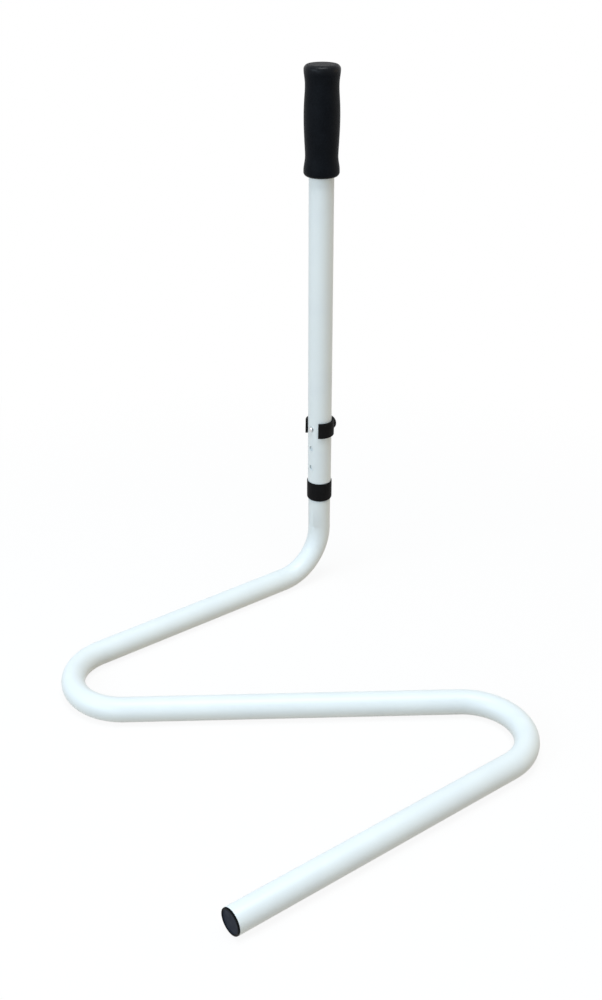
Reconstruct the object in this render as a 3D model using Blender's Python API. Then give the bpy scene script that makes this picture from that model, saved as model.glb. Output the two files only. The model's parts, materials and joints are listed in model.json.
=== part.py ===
"""Bed pole, a transfer aid that stands beside a mattress.

A flat Z of bent tube slides between the mattress and the bed base. The back end of the same tube
turns up into a spigot. A pole with a foam grip slides over the spigot, and a clip with a pin
through both tubes locks it at one of three heights.

Metres, +Z up. The base lies flat on z = 0, and the origin is the middle of the footprint.
"""

from math import acos, ceil, cos, pi, radians, sin, tan

import bmesh
import bpy
from mathutils import Matrix, Vector

# Gap that each pair of touching pieces keeps on every side
CLEARANCE = 0.0003

# Base: one steel tube, its legs measured from corner to corner along their axes
TUBE_D = 0.0254
TUBE_WALL = 0.0016
FOOT_LEG = 0.4755
CROSS_LEG = 0.6880
END_LEG = 0.4976
LEFT_CORNER_ANGLE = radians(36.3)
RIGHT_CORNER_ANGLE = radians(35.65)
CORNER_BEND_R = 0.0570
UPRIGHT_BEND_R = 0.0525
BEND_FLATTENING = 0.06

# Spigot: the swaged upper end of the base tube, with the gap that it slides with in the pole
SPIGOT_GAP = 0.0005
SHOULDER_LENGTH = 0.0012
SPIGOT_OVER_PIN = 0.0049
SPIGOT_CHAMFER = 0.0004

# Pole, with heights above the floor at the lowest setting
POLE_D = 0.0267
POLE_WALL = 0.0010
OVERALL_HEIGHT = 0.5883
PIN_HEIGHT = 0.1944
HOLE_PITCH = 0.0240
HOLE_COUNT = 3

# Ferrule on the pole's lower end
COLLAR_FOOT_HEIGHT = 0.1044
COLLAR_LENGTH = 0.0228
COLLAR_WALL = 0.0007
COLLAR_LIP = 0.0026
COLLAR_FOOT_ROUND = 0.0030
COLLAR_TOP_TAPER = 0.0016

# Plugs in the ends of the tubes
PLUG_FLANGE = 0.0013
PLUG_FLANGE_INSET = 0.0001
PLUG_FLANGE_ROUND = 0.0007
PLUG_RIM = 0.0022
PLUG_DISH = 0.0006
PLUG_SHANK = 0.0170
PLUG_SHANK_WALL = 0.0016
PLUG_RIB_COUNT = 4
PLUG_RIB_HEIGHT = 0.0007

# Clip and pin, turned about the pole's axis so that the boss points away from the opening
PIN_DIRECTION = radians(41.9)
PIN_D = 0.0056
PIN_TIP_REACH = 0.0146
PIN_DOME = 0.0016
CLIP_HEIGHT = 0.0176
CLIP_WALL = 0.0024
CLIP_OUTER_ROUND = 0.0008
CLIP_EDGE_ROUND = 0.0003
CLIP_NEAR_ARM_ANGLE = radians(46.0)
CLIP_FAR_ARM_ANGLE = radians(38.6)
BOSS_D = 0.0152
BOSS_REACH = 0.0198
BOSS_ROUND = 0.0026
BOSS_END_WALL = 0.0020

# Foam grip
GRIP_LENGTH = 0.1113
GRIP_FOAM_END = 0.0050
GRIP_FOOT_ROUND = 0.0042
GRIP_TOP_ROUND = 0.0050
GRIP_FOOT_CREST_D = 0.0380
GRIP_LOW_WAIST_D = 0.0347
GRIP_MIDDLE_CREST_D = 0.0377
GRIP_HIGH_WAIST_D = 0.0352
GRIP_TOP_CREST_D = 0.0380

# Facets
TUBE_SIDES = 32
HOLE_SIDES = 16
BEND_STEP = radians(10)
ROUND_STEPS = 3
GRIP_STEPS = 4
CLIP_STEP = radians(7.5)

# Sizes that follow from the ones above
POLE_BORE = POLE_D - 2 * POLE_WALL
SPIGOT_D = POLE_BORE - 2 * SPIGOT_GAP
SPIGOT_FOOT_HEIGHT = COLLAR_FOOT_HEIGHT - CLEARANCE
SPIGOT_TOP_HEIGHT = PIN_HEIGHT + SPIGOT_OVER_PIN
# The tube's lowest facet lies on the floor, so its axis is one facet's inner radius up
BASE_AXIS_HEIGHT = TUBE_D / 2 * cos(pi / TUBE_SIDES)
HOLE_D = PIN_D + 2 * CLEARANCE
POLE_FOOT_HEIGHT = COLLAR_FOOT_HEIGHT + COLLAR_LIP + CLEARANCE
POLE_PLUG_HEIGHT = OVERALL_HEIGHT - GRIP_FOAM_END - CLEARANCE
POLE_TOP_HEIGHT = POLE_PLUG_HEIGHT - PLUG_FLANGE - CLEARANCE
GRIP_FOOT_HEIGHT = OVERALL_HEIGHT - GRIP_LENGTH

# The grip's crests and waists from its foot up: the share of its length that each lies at, its
# diameter, and how sharply a crest rises out of its waists (below 1 is fuller, above 1 is narrower)
GRIP_STOPS = (
    (0.050, GRIP_FOOT_CREST_D, 1.0),
    (0.185, GRIP_LOW_WAIST_D, 1.0),
    (0.544, GRIP_MIDDLE_CREST_D, 0.75),
    (0.802, GRIP_HIGH_WAIST_D, 1.0),
    (0.955, GRIP_TOP_CREST_D, 1.3),
)

COAT_COLOUR = (0.82, 0.85, 0.86)
BLACK_COLOUR = (0.012, 0.012, 0.013)
SLATE_COLOUR = (0.028, 0.034, 0.045)
FOAM_COLOUR = (0.008, 0.010, 0.013)
STEEL_COLOUR = (0.60, 0.60, 0.60)


def clear_scene():
    for thing in list(bpy.data.objects):
        bpy.data.objects.remove(thing, do_unlink=True)


def material(name, colour, roughness, metallic=0.0):
    made = bpy.data.materials.new(name)
    made.use_nodes = True
    shader = made.node_tree.nodes["Principled BSDF"]
    shader.inputs["Base Color"].default_value = (*colour, 1.0)
    shader.inputs["Roughness"].default_value = roughness
    shader.inputs["Metallic"].default_value = metallic
    return made


def add_object(name, bm, finish, parent, location=(0, 0, 0), rotation=(0, 0, 0)):
    """Turn a bmesh into a named object with outward faces, shaded smooth between sharp edges."""
    bmesh.ops.recalc_face_normals(bm, faces=bm.faces)
    mesh = bpy.data.meshes.new(name)
    bm.to_mesh(mesh)
    bm.free()
    mesh.shade_smooth()
    mesh.set_sharp_from_angle(angle=radians(35))
    made = bpy.data.objects.new(name, mesh)
    bpy.context.collection.objects.link(made)
    if finish:
        mesh.materials.append(finish)
    made.parent = parent
    made.location = location
    made.rotation_euler = rotation
    return made


def add_empty(name, parent=None, location=(0, 0, 0), rotation=(0, 0, 0)):
    made = bpy.data.objects.new(name, None)
    bpy.context.collection.objects.link(made)
    made.parent = parent
    made.location = location
    made.rotation_euler = rotation
    return made


def cut(thing, bm, parent, location=(0, 0, 0), rotation=(0, 0, 0)):
    """Take a bmesh's shape out of an object."""
    cutter = add_object(thing.name + "_cutter", bm, None, parent, location, rotation)
    cutter.hide_render = True
    cutter.display_type = "WIRE"
    modifier = thing.modifiers.new("cut", "BOOLEAN")
    modifier.operation = "DIFFERENCE"
    modifier.object = cutter


def arc_points(centre, radius, start, end, steps=ROUND_STEPS):
    """Points of an arc in a profile's (radius, height) plane."""
    turns = [start + (end - start) * step / steps for step in range(steps + 1)]
    return [(centre[0] + radius * cos(a), centre[1] + radius * sin(a)) for a in turns]


def turned(profile, sides=TUBE_SIDES):
    """Spin a closed (radius, height) profile round Z. One facet faces each of +X, +Y, -X and -Y."""
    bm = bmesh.new()
    first = Matrix.Rotation(pi / sides, 3, "Z")
    corners = [bm.verts.new(first @ Vector((r, 0, z))) for r, z in profile]
    edges = [bm.edges.new(pair) for pair in zip(corners, corners[1:] + corners[:1])]
    bmesh.ops.spin(
        bm,
        geom=corners + edges,
        cent=(0, 0, 0),
        axis=(0, 0, 1),
        angle=2 * pi,
        steps=sides,
        use_merge=True,
    )
    bmesh.ops.remove_doubles(bm, verts=bm.verts, dist=1e-6)
    on_axis = [edge for edge in bm.edges if not edge.link_faces]
    bmesh.ops.delete(bm, geom=on_axis, context="EDGES")
    return bm


def rod(diameter, start, end, height=0.0, sides=HOLE_SIDES):
    """A cylinder along X from start to end, at a height on Z."""
    place = Matrix.Translation(((start + end) / 2, 0, height)) @ Matrix.Rotation(pi / 2, 4, "Y")
    bm = bmesh.new()
    bmesh.ops.create_cone(
        bm,
        cap_ends=True,
        segments=sides,
        radius1=diameter / 2,
        radius2=diameter / 2,
        depth=end - start,
        matrix=place,
    )
    return bm


def merge_into(bm, other):
    """Add another bmesh's shape to this one."""
    scratch = bpy.data.meshes.new("scratch")
    other.to_mesh(scratch)
    other.free()
    bm.from_mesh(scratch)
    bpy.data.meshes.remove(scratch)


def pin_holes(heights):
    """Cutter for holes right through both walls of a tube, at heights along it."""
    reach = POLE_D
    bm = bmesh.new()
    for height in heights:
        merge_into(bm, rod(HOLE_D, -reach, reach, height))
    return bm


class Station:
    """One ring of the bent tube: where its centre is, which way it faces and how it is squeezed."""

    def __init__(self, centre, forward, side, outer_d=TUBE_D, outward=None, squeeze=0.0):
        self.centre = centre
        self.forward = forward
        self.side = side
        self.outer_d = outer_d
        self.outward = outward
        self.squeeze = squeeze

    def ring(self, bm, radius):
        up = self.side.cross(self.forward)
        corners = []
        for k in range(TUBE_SIDES):
            turn = pi * (2 * k + 1) / TUBE_SIDES
            spoke = self.side * cos(turn) + up * sin(turn)
            if self.outward is not None:
                spoke -= self.outward * max(0.0, spoke.dot(self.outward)) * self.squeeze
            corners.append(bm.verts.new(self.centre + spoke * radius))
        return corners


def base_corners():
    """The corners of the tube's axis: spigot top, foot of the upright, left, right and free end."""
    foot = Vector((0, 0, BASE_AXIS_HEIGHT))
    left = foot - FOOT_LEG * Vector((cos(LEFT_CORNER_ANGLE), sin(LEFT_CORNER_ANGLE), 0))
    right = left + Vector((CROSS_LEG, 0, 0))
    end = right - END_LEG * Vector((cos(RIGHT_CORNER_ANGLE), sin(RIGHT_CORNER_ANGLE), 0))
    return Vector((0, 0, SPIGOT_TOP_HEIGHT)), foot, left, right, end


def bend_stations(before, corner, after, bend_r):
    """The rings of one bend. Its outer side is squeezed towards the axis, most at mid-bend."""
    forward = (corner - before).normalized()
    leaving = (after - corner).normalized()
    turn = forward.angle(leaving)
    inward = (leaving - forward * forward.dot(leaving)).normalized()
    centre = corner - forward * bend_r * tan(turn / 2) + inward * bend_r
    level = before.z == corner.z
    steps = ceil(turn / BEND_STEP)
    stations = []
    for step in range(steps + 1):
        share = step / steps
        outward = forward * sin(turn * share) - inward * cos(turn * share)
        facing = forward * cos(turn * share) + inward * sin(turn * share)
        side = (facing if level else leaving).cross((0, 0, 1))
        squeeze = BEND_FLATTENING * sin(pi * share)
        place = centre + outward * bend_r
        stations.append(Station(place, facing, side, outward=outward, squeeze=squeeze))
    return stations


def base_stations():
    """Every ring of the base tube, from the top of the spigot to the free end."""
    top, foot, left, right, end = base_corners()
    down = Vector((0, 0, -1))
    side = (left - foot).normalized().cross((0, 0, 1))
    spigot_rings = (
        (SPIGOT_TOP_HEIGHT, SPIGOT_D - 2 * SPIGOT_CHAMFER),
        (SPIGOT_TOP_HEIGHT - SPIGOT_CHAMFER, SPIGOT_D),
        (SPIGOT_FOOT_HEIGHT, SPIGOT_D),
        (SPIGOT_FOOT_HEIGHT - SHOULDER_LENGTH, TUBE_D),
    )
    stations = [Station(Vector((0, 0, z)), down, side, outer_d=d) for z, d in spigot_rings]
    stations += bend_stations(top, foot, left, UPRIGHT_BEND_R)
    stations += bend_stations(foot, left, right, CORNER_BEND_R)
    stations += bend_stations(left, right, end, CORNER_BEND_R)
    last = stations[-1]
    stations.append(Station(end, last.forward, last.side))
    return stations


def base_frame(parent):
    """The bent tube: rings outside from end to end, then rings inside on the way back."""
    bm = bmesh.new()
    stations = base_stations()
    rings = [s.ring(bm, s.outer_d / 2) for s in stations]
    rings += [s.ring(bm, s.outer_d / 2 - TUBE_WALL) for s in reversed(stations)]
    for ring, following in zip(rings, rings[1:] + rings[:1]):
        for k in range(TUBE_SIDES):
            j = (k + 1) % TUBE_SIDES
            bm.faces.new((ring[k], ring[j], following[j], following[k]))
    made = add_object("base_frame", bm, material("base_coat", COAT_COLOUR, 0.35), parent)
    cut(made, pin_holes([PIN_HEIGHT]), parent, rotation=(0, 0, PIN_DIRECTION))
    return made


def plug_profile(tube_d, bore_d):
    """Flange with a dished face on top of a hollow shank whose rings grip the tube's bore."""
    flange_r = tube_d / 2 - PLUG_FLANGE_INSET
    dish_r = flange_r - PLUG_RIM
    shank_r = bore_d / 2 - CLEARANCE
    root_r = shank_r - PLUG_RIB_HEIGHT
    hollow_r = root_r - PLUG_SHANK_WALL
    top = PLUG_FLANGE
    ceiling = top - PLUG_DISH - PLUG_SHANK_WALL
    rim_centre = (flange_r - PLUG_FLANGE_ROUND, top - PLUG_FLANGE_ROUND)
    profile = [(0, top - PLUG_DISH), (dish_r - PLUG_DISH, top - PLUG_DISH), (dish_r, top)]
    profile += arc_points(rim_centre, PLUG_FLANGE_ROUND, pi / 2, 0)
    profile += [(flange_r, 0), (root_r, 0)]
    pitch = PLUG_SHANK / PLUG_RIB_COUNT
    for rib in range(PLUG_RIB_COUNT):
        crest = -pitch * rib - pitch / 2
        profile += [(root_r, crest + pitch / 4), (shank_r, crest), (root_r, crest - pitch / 4)]
    profile += [(root_r, -PLUG_SHANK), (hollow_r, -PLUG_SHANK), (hollow_r, ceiling), (0, ceiling)]
    return profile


def base_end_plug(parent):
    *_, right, end = base_corners()
    outward = (end - right).normalized()
    turn = outward.to_track_quat("Z", "Y").to_euler()
    profile = plug_profile(TUBE_D, TUBE_D - 2 * TUBE_WALL)
    finish = material("plug_plastic", SLATE_COLOUR, 0.4)
    place = end + outward * CLEARANCE
    return add_object("base_end_plug", turned(profile), finish, parent, place, turn)


def upper_tube(parent):
    inner, outer = POLE_BORE / 2, POLE_D / 2
    length = POLE_TOP_HEIGHT - POLE_FOOT_HEIGHT
    bm = turned([(inner, 0), (outer, 0), (outer, length), (inner, length)])
    place = (0, 0, POLE_FOOT_HEIGHT)
    made = add_object("upper_tube", bm, material("pole_coat", COAT_COLOUR, 0.35), parent, place)
    heights = [PIN_HEIGHT - HOLE_PITCH * k - POLE_FOOT_HEIGHT for k in range(HOLE_COUNT)]
    cut(made, pin_holes(heights), parent, place, (0, 0, PIN_DIRECTION))
    return made


def upper_tube_plug(parent):
    profile = plug_profile(POLE_D, POLE_BORE)
    finish = material("pole_plug_plastic", BLACK_COLOUR, 0.5)
    place = (0, 0, POLE_TOP_HEIGHT + CLEARANCE)
    return add_object("upper_tube_plug", turned(profile), finish, parent, place)


def tube_collar(parent):
    """A sleeve over the pole's lower end, with a lip under the tube's edge that guides the spigot."""
    guide = SPIGOT_D / 2 + CLEARANCE
    bore = POLE_D / 2 + CLEARANCE
    outer = bore + COLLAR_WALL
    foot_r = outer - COLLAR_FOOT_ROUND
    foot_turn = acos(max(0, guide - foot_r) / COLLAR_FOOT_ROUND)
    foot_centre = (foot_r, COLLAR_FOOT_ROUND * sin(foot_turn))
    top_thinning = COLLAR_WALL / 2
    profile = [(guide, 0)]
    profile += arc_points(foot_centre, COLLAR_FOOT_ROUND, -foot_turn, 0)
    profile += [(outer, COLLAR_LENGTH - COLLAR_TOP_TAPER), (outer - top_thinning, COLLAR_LENGTH)]
    profile += [(bore, COLLAR_LENGTH), (bore, COLLAR_LIP), (guide, COLLAR_LIP)]
    finish = material("collar_plastic", BLACK_COLOUR, 0.45)
    place = (0, 0, COLLAR_FOOT_HEIGHT)
    return add_object("tube_collar", turned(profile), finish, parent, place)


def grip_radius(share):
    """Radius of the grip at a share of its height, eased between its crests and waists."""
    for pair in zip(GRIP_STOPS, GRIP_STOPS[1:]):
        if pair[0][0] <= share <= pair[1][0]:
            (waist, waist_d, _), (crest, crest_d, power) = sorted(pair, key=lambda stop: stop[1])
            rise = ((share - waist) / (crest - waist)) ** power
            return (waist_d + (crest_d - waist_d) * (1 - cos(pi * rise)) / 2) / 2
    nearest = GRIP_STOPS[0] if share < GRIP_STOPS[0][0] else GRIP_STOPS[-1]
    return nearest[1] / 2


def hand_grip(parent):
    """Closed-end foam tube, with a rounded foot and top."""
    bore = POLE_D / 2 + CLEARANCE
    foot_r, top_r = grip_radius(0), grip_radius(1)
    foot_centre = (foot_r - GRIP_FOOT_ROUND, GRIP_FOOT_ROUND)
    top_centre = (top_r - GRIP_TOP_ROUND, GRIP_LENGTH - GRIP_TOP_ROUND)
    profile = [(bore, 0)]
    profile += arc_points(foot_centre, GRIP_FOOT_ROUND, -pi / 2, 0)
    for (low, *_), (high, *_) in zip(GRIP_STOPS, GRIP_STOPS[1:]):
        for step in range(GRIP_STEPS):
            share = low + (high - low) * step / GRIP_STEPS
            profile.append((grip_radius(share), GRIP_LENGTH * share))
    profile += arc_points(top_centre, GRIP_TOP_ROUND, 0, pi / 2)
    ceiling = GRIP_LENGTH - GRIP_FOAM_END
    profile += [(0, GRIP_LENGTH), (0, ceiling), (bore, ceiling)]
    finish = material("grip_foam", FOAM_COLOUR, 0.85)
    place = (0, 0, GRIP_FOOT_HEIGHT)
    return add_object("hand_grip", turned(profile), finish, parent, place)


def clip_band():
    """The C-shaped band, from the end of its near arm round the back to the end of its far arm."""
    inner = POLE_D / 2 + CLEARANCE
    outer = inner + CLIP_WALL
    half = CLIP_HEIGHT / 2
    rounding = CLIP_OUTER_ROUND
    section = [(inner, -half)]
    section += arc_points((outer - rounding, rounding - half), rounding, -pi / 2, 0)
    section += arc_points((outer - rounding, half - rounding), rounding, 0, pi / 2)
    section += [(inner, half)]
    start = pi + CLIP_FAR_ARM_ANGLE
    sweep = 2 * pi - CLIP_FAR_ARM_ANGLE - CLIP_NEAR_ARM_ANGLE
    bm = bmesh.new()
    first = Matrix.Rotation(start, 3, "Z")
    face = bm.faces.new([bm.verts.new(first @ Vector((r, 0, z))) for r, z in section])
    bmesh.ops.spin(
        bm,
        geom=[face, *face.edges, *face.verts],
        cent=(0, 0, 0),
        axis=(0, 0, 1),
        angle=sweep,
        steps=ceil(sweep / CLIP_STEP),
    )
    return bm


def boss_body():
    """The boss behind the band: a round stub along +X with a rounded end."""
    radius = BOSS_D / 2
    root = POLE_D / 2 + CLEARANCE + CLIP_WALL / 2
    rounding = min(BOSS_ROUND, radius)
    profile = [(0, root), (radius, root)]
    profile += arc_points((radius - rounding, BOSS_REACH - rounding), rounding, 0, pi / 2)
    profile += [(0, BOSS_REACH)]
    bm = turned(profile, HOLE_SIDES)
    bmesh.ops.rotate(bm, verts=bm.verts, matrix=Matrix.Rotation(pi / 2, 3, "Y"))
    return bm


def lock_clip(parent):
    finish = material("clip_plastic", BLACK_COLOUR, 0.4)
    made = add_object("lock_clip", clip_band(), finish, parent)
    edge = made.modifiers.new("edge_round", "BEVEL")
    edge.width = CLIP_EDGE_ROUND
    edge.segments = 2
    edge.limit_method = "ANGLE"
    edge.angle_limit = radians(40)
    boss = add_object("lock_clip_boss", boss_body(), None, parent)
    boss.hide_render = True
    boss.display_type = "WIRE"
    join = made.modifiers.new("boss", "BOOLEAN")
    join.operation = "UNION"
    join.object = boss
    cut(made, rod(HOLE_D, 0, BOSS_REACH - BOSS_END_WALL), parent)
    return made


def lock_pin(parent):
    """Pin along X with a domed tip at -X, its other end in the boss."""
    radius = PIN_D / 2
    length = PIN_TIP_REACH + BOSS_REACH - BOSS_END_WALL - CLEARANCE
    chamfer = radius / 6
    profile = [(0, 0), (radius - chamfer, 0), (radius, chamfer), (radius, length - PIN_DOME)]
    for step in range(1, ROUND_STEPS + 1):
        turn = pi / 2 * step / ROUND_STEPS
        profile.append((radius * cos(turn), length - PIN_DOME + PIN_DOME * sin(turn)))
    bm = turned(profile, HOLE_SIDES)
    bmesh.ops.rotate(bm, verts=bm.verts, matrix=Matrix.Rotation(-pi / 2, 3, "Y"))
    bmesh.ops.translate(bm, verts=bm.verts, vec=(length - PIN_TIP_REACH, 0, 0))
    return add_object("lock_pin", bm, material("pin_steel", STEEL_COLOUR, 0.25, 1.0), parent)


def centre_footprint(root, pieces):
    """Move the whole object so that the middle of its footprint is the origin."""
    bpy.context.view_layer.update()
    evaluated = bpy.context.evaluated_depsgraph_get()
    places = []
    for piece in pieces:
        mesh = piece.evaluated_get(evaluated).to_mesh()
        places += [piece.matrix_world @ vertex.co for vertex in mesh.vertices]
    for axis in (0, 1):
        values = [place[axis] for place in places]
        root.location[axis] = -(min(values) + max(values)) / 2
    bpy.context.view_layer.update()


def build():
    clear_scene()
    root = add_empty("bed_pole")
    pole = add_empty("pole_slide", root)
    clip = add_empty("clip_pull", pole, (0, 0, PIN_HEIGHT), (0, 0, PIN_DIRECTION))
    pieces = [base_frame(root), base_end_plug(root)]
    pieces += [make(pole) for make in (upper_tube, upper_tube_plug, tube_collar, hand_grip)]
    pieces += [make(clip) for make in (lock_clip, lock_pin)]
    centre_footprint(root, pieces)


build()
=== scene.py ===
"""Looks of a bed pole: the bent white tube, the pole that slides on it, its foam grip and pin clip.

Metres, +Z up, in the frame's own places. Sizes come from the frame's boxes where it has them.
"""

import json
from math import acos, atan2, ceil, cos, pi, radians, sin, sqrt, tan

import bmesh
import bpy
from mathutils import Euler, Matrix, Vector, noise


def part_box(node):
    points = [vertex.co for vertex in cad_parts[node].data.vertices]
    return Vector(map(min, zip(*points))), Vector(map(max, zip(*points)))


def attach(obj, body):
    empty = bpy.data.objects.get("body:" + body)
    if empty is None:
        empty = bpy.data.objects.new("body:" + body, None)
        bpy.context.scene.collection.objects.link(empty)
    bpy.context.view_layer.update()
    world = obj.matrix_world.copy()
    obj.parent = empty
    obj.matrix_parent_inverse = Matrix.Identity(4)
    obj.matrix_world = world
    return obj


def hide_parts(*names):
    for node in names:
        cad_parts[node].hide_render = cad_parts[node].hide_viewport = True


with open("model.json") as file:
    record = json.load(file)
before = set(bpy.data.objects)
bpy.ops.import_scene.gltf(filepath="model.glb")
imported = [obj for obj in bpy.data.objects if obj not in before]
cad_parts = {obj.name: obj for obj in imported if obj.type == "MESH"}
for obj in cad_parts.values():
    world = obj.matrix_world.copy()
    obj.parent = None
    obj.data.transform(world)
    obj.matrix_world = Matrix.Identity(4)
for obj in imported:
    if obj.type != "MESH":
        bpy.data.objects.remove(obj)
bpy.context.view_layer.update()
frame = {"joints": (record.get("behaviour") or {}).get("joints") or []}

# Base: the tube's legs are measured from corner to corner along their axes. The outer side of a
# bend is drawn in by a share of the tube's radius.
FOOT_LEG = 0.4755
CROSS_LEG = 0.6880
END_LEG = 0.4976
LEFT_CORNER_ANGLE = radians(36.3)
RIGHT_CORNER_ANGLE = radians(35.65)
CORNER_BEND_R = 0.0570
UPRIGHT_BEND_R = 0.0525
BEND_FLATTENING = 0.075
TUBE_WALL = 0.0016
TUBE_EDGE_ROUND = 0.0005

# Mark of the bender's clamp on the upright, just over its bend
CLAMP_MARK_HEIGHT = 0.0713
CLAMP_MARK_STEP = 0.0006
CLAMP_MARK_DEPTH = 0.0004

# Spigot inside the pole
CLEARANCE = 0.0003
SPIGOT_GAP = 0.0005
SHOULDER_LENGTH = 0.0012
SPIGOT_OVER_PIN = 0.0049
SPIGOT_CHAMFER = 0.0004

# Pole and its cross holes. A drill passes the pole's axis by a multiple of the pole's radius.
POLE_WALL = 0.0010
HOLE_PITCH = 0.0240
HOLE_COUNT = 3
DRILL_REACH = 1.5

# Ferrule
FERRULE_LIP = 0.0026
FERRULE_FOOT_ROUND = 0.0030
FERRULE_TOP_TAPER = 0.0016
FERRULE_MOUTH_ROUND = 0.0002

# Plugs in the ends of the tubes
PLUG_FLANGE = 0.0013
PLUG_FLANGE_INSET = 0.0001
PLUG_FLANGE_ROUND = 0.0007
PLUG_RIM = 0.0018
PLUG_DISH = 0.0006
PLUG_DISH_SLOPE = radians(22.5)
PLUG_SHANK = 0.0170
PLUG_SHANK_WALL = 0.0016
PLUG_RIB_COUNT = 4
PLUG_RIB_HEIGHT = 0.0007
PLUG_RIB_SIDES = 4

# Pin and clip. The arms' angles are from the middle of the clip's opening to each arm's end.
PIN_D = 0.0056
PIN_TIP_REACH = 0.0160
PIN_DOME = 0.0012
PIN_CHAMFER = 0.0005
CLIP_GAP = 0.0002
CLIP_WALL = 0.0027
CLIP_DROP = 0.00015
CLIP_TILT = radians(1.0)
CLIP_OUTER_ROUND = 0.0008
CLIP_EDGE_ROUND = 0.0003
CLIP_CORNER_ROUND = 0.0004
CLIP_NEAR_ARM_ANGLE = radians(46.0)
CLIP_FAR_ARM_ANGLE = radians(38.6)
BOSS_D = 0.0156
BOSS_REACH = 0.0202
BOSS_ROUND = 0.0026
BOSS_END_WALL = 0.0024
BOSS_FILLET = 0.0003
BOSS_SUNK = 0.0001

# Foam grip's crests and waists from its foot up: the share of its length that each lies at, its
# diameter, and how sharply a crest rises out of its waists (below 1 is fuller, above 1 is narrower)
GRIP_STOPS = (
    (0.050, 0.0380, 1.0),
    (0.185, 0.0347, 1.0),
    (0.544, 0.0377, 0.75),
    (0.802, 0.0352, 1.0),
    (0.955, 0.0380, 1.3),
)
GRIP_FOAM_END = 0.0050
GRIP_FOOT_ROUND = 0.0042
GRIP_TOP_ROUND = 0.0050
GRIP_MOUTH_ROUND = 0.0006
FOAM_SKIN_WAVE = 0.00010
FOAM_SWELL_SCALE = 90
FOAM_RIPPLE_SCALE = 400

# Fineness of the meshes
TUBE_SIDES = 96
TURNED_SIDES = 128
BOSS_SIDES = 96
SMALL_SIDES = 48
BEND_STEP = radians(3)
CLIP_STEP = radians(3)
ROUND_STEPS = 8
GRIP_RING_PITCH = 0.0009
TUBE_EDGE_SEGMENTS = 3
CLIP_EDGE_SEGMENTS = 5
MERGED_WITHIN = 2e-6

# Where faces meet at more than the first angle, an edge is a corner to be rounded, and at more than
# the second, shading breaks. Two directions are square or alike by the cosine between them.
CORNER_TURN = radians(60)
CREASE_TURN = radians(32)
SQUARE_BELOW = 0.1
ALIKE_ABOVE = 0.7

# Places and round sizes that the frame gives. The CAD solids have flat sides, so half the width of
# a box is the radius of the round shape that lies inside them.
pole_low, pole_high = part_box("upper_tube")
plug_low, plug_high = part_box("base_end_plug")
ferrule_low, ferrule_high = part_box("tube_collar")
grip_low, grip_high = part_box("hand_grip")
clip_low, clip_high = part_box("lock_clip")
pin_low, pin_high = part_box("lock_pin")
_, top_plug_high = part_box("upper_tube_plug")
pole_axis = Vector(((pole_low.x + pole_high.x) / 2, (pole_low.y + pole_high.y) / 2, 0))
pin_height = (pin_low.z + pin_high.z) / 2
clip_pull = next(joint for joint in frame["joints"] if joint["name"] == "clip_pull")
pin_turn = atan2(clip_pull["axis"][1], clip_pull["axis"][0])
tube_r = (plug_high.z - plug_low.z) / 2 + PLUG_FLANGE_INSET
pole_r = (pole_high.x - pole_low.x) / 2
pole_bore_r = pole_r - POLE_WALL
spigot_r = pole_bore_r - SPIGOT_GAP
hole_r = PIN_D / 2 + CLEARANCE
spigot_foot = ferrule_low.z - CLEARANCE
spigot_top = pin_height + SPIGOT_OVER_PIN

# Colours
COAT_WHITE = (0.80, 0.86, 0.87)
COAT_SHADE = (0.77, 0.83, 0.85)
PLASTIC_BLACK = (0.0080, 0.0079, 0.0082)
PLASTIC_GREY = (0.0115, 0.0114, 0.0118)
SLATE_DARK = (0.011, 0.016, 0.027)
SLATE_PALE = (0.020, 0.027, 0.040)
# Painted shade for the rim round a plug's dished face
SLATE_RIM_PAINTED_SHADE = (0.003, 0.004, 0.005)
FOAM_BLACK = (0.0020, 0.0030, 0.0045)
FOAM_GREY = (0.0050, 0.0065, 0.0090)
STEEL_PALE = (0.72, 0.73, 0.74)
STEEL_DARK = (0.58, 0.58, 0.59)

# Finishes. A pattern's scale is about how many of its lumps lie in a metre, and a relief is the
# depth of the lumps. A roughness is what the patterns start from.
COAT_PEEL_SCALE = 420
COAT_GRAIN_SCALE = 2600
COAT_CLOUD_SCALE = 28
COAT_RELIEF = 0.00003
COAT_ROUGHNESS = 0.33
COAT_SPECULAR = 0.4
MOULD_GRAIN_SCALE = 3200
MOULD_RUB_SCALE = 130
MOULD_RELIEF = 0.00002
MOULD_SPECULAR = 0.03
BLACK_ROUGHNESS = 0.45
SLATE_ROUGHNESS = 0.34
FOAM_CELL_SCALE = 1900
FOAM_PORE_SCALE = 700
FOAM_BLOOM_SCALE = 60
FOAM_RELIEF = 0.00016
FOAM_ROUGHNESS = 0.40
FOAM_SPECULAR = 0.05
FOAM_POLISH = 0.14
FOAM_POLISH_ROUGHNESS = 0.25
STEEL_MARK_SCALES = (2400, 2400, 9000)
STEEL_STAIN_SCALE = 500
STEEL_RELIEF = 0.000008
STEEL_ROUGHNESS = 0.20

# Studio: the floor whitens from the object outwards, and gives the object less light than it shows
WHITE = (1.0, 1.0, 1.0)
FLOOR_REACH = 14.0
FLOOR_CELLS = 8
FLOOR_GAP = 0.0002
FLOOR_GRAIN_SCALE = 3.0
FLOOR_PALE = (0.90, 0.90, 0.90)
FLOOR_SHADE = (0.87, 0.87, 0.87)
FLOOR_BOUNCE = (0.52, 0.44, 0.35)
FLOOR_WHITENESS = 0.90
FLOOR_NEAR = 0.45
FLOOR_FAR = 0.95
FILL_COLOUR = (0.90, 0.94, 0.96)
FILL_STRENGTH = 0.42
LAMP_TARGET = Vector((0.0, 0.0, 0.2))
LAMP_DISTANCE = 2.4
LAMP_SIZE = 1.2
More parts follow.
